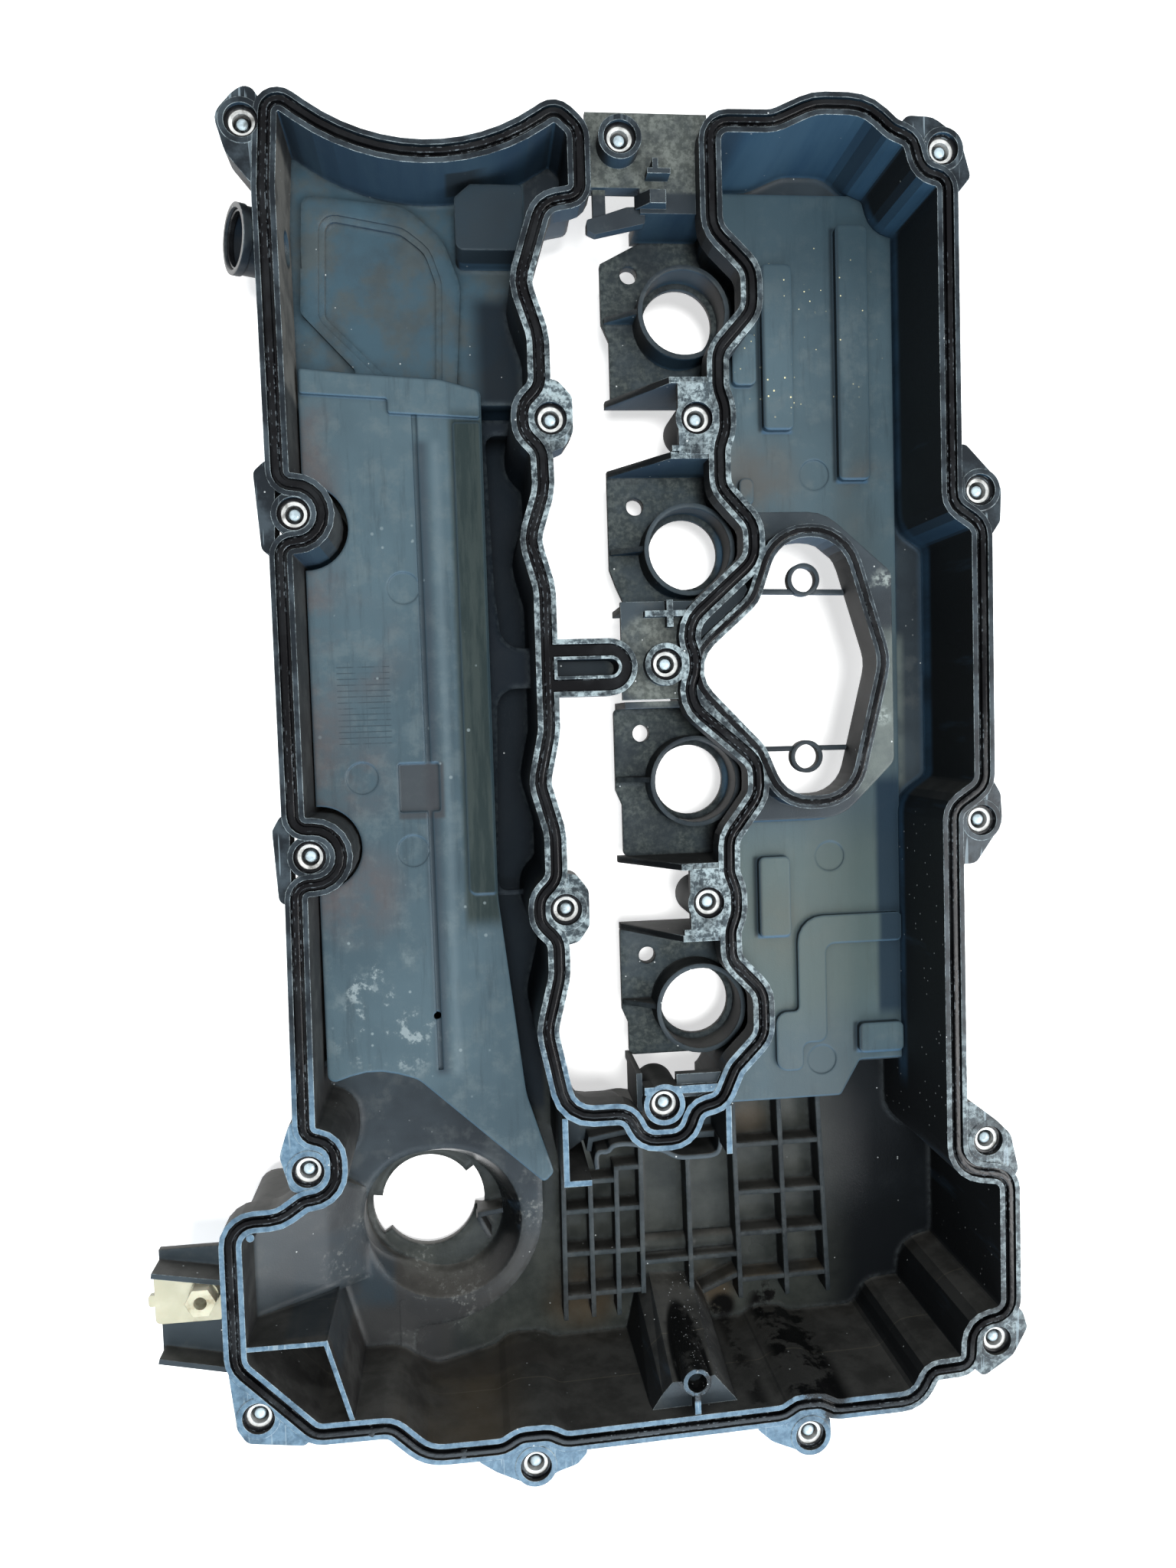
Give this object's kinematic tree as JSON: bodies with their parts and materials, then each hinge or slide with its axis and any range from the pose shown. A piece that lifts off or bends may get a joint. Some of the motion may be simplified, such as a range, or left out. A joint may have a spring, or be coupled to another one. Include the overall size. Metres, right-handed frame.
{
  "type": "valve cover",
  "caption": "Moulded plastic valve cover with sealing track, captive bolts, coil wells, motor opening, oil separator plates and sunk filler neck, gasket face up.",
  "frame": {"origin": "centre of the part's box in X and Y, on the plane that it lies on", "axes": "+Z out of the gasket face; +Y along the bore row towards the pump bay; +X towards the side with the motor opening"},
  "size_m": [0.3432, 0.5241, 0.0737],
  "materials": {
    "shell_nylon": "glass-filled nylon, oil-stained and worn on the lips",
    "baffle_nylon": "grey-blue nylon plate, welded in",
    "seal_rubber": "oily black rubber",
    "bolt_steel": "zinc-plated",
    "sleeve_steel": "zinc-plated",
    "clip_plastic": "cream plastic"
  },
  "bodies": {
    "root": {"cover_shell": "shell_nylon", "separator_baffle": "baffle_nylon", "cam_baffle": "baffle_nylon", "perimeter_gasket": "seal_rubber", "motor_opening_seal": "seal_rubber", "bolt_seals": "seal_rubber", "breather_seal": "seal_rubber", "wiring_clip": "clip_plastic", "cover_bolt_01": "bolt_steel", "cover_bolt_02": "bolt_steel", "cover_bolt_03": "bolt_steel", "cover_bolt_04": "bolt_steel", "cover_bolt_05": "bolt_steel", "cover_bolt_06": "bolt_steel", "cover_bolt_07": "bolt_steel", "cover_bolt_08": "bolt_steel", "cover_bolt_09": "bolt_steel", "cover_bolt_10": "bolt_steel", "cover_bolt_11": "bolt_steel", "cover_bolt_12": "bolt_steel", "cover_bolt_13": "bolt_steel", "cover_bolt_14": "bolt_steel", "cover_bolt_15": "bolt_steel", "cover_bolt_16": "bolt_steel", "cover_bolt_17": "bolt_steel", "cover_bolt_18": "bolt_steel", "cover_bolt_19": "bolt_steel", "bolt_sleeve_01": "sleeve_steel", "bolt_sleeve_02": "sleeve_steel", "bolt_sleeve_03": "sleeve_steel", "bolt_sleeve_04": "sleeve_steel", "bolt_sleeve_05": "sleeve_steel", "bolt_sleeve_06": "sleeve_steel", "bolt_sleeve_07": "sleeve_steel", "bolt_sleeve_08": "sleeve_steel", "bolt_sleeve_09": "sleeve_steel", "bolt_sleeve_10": "sleeve_steel", "bolt_sleeve_11": "sleeve_steel", "bolt_sleeve_12": "sleeve_steel", "bolt_sleeve_13": "sleeve_steel", "bolt_sleeve_14": "sleeve_steel", "bolt_sleeve_15": "sleeve_steel", "bolt_sleeve_16": "sleeve_steel", "bolt_sleeve_17": "sleeve_steel", "bolt_sleeve_18": "sleeve_steel", "bolt_sleeve_19": "sleeve_steel"}
  },
  "joints": []
}
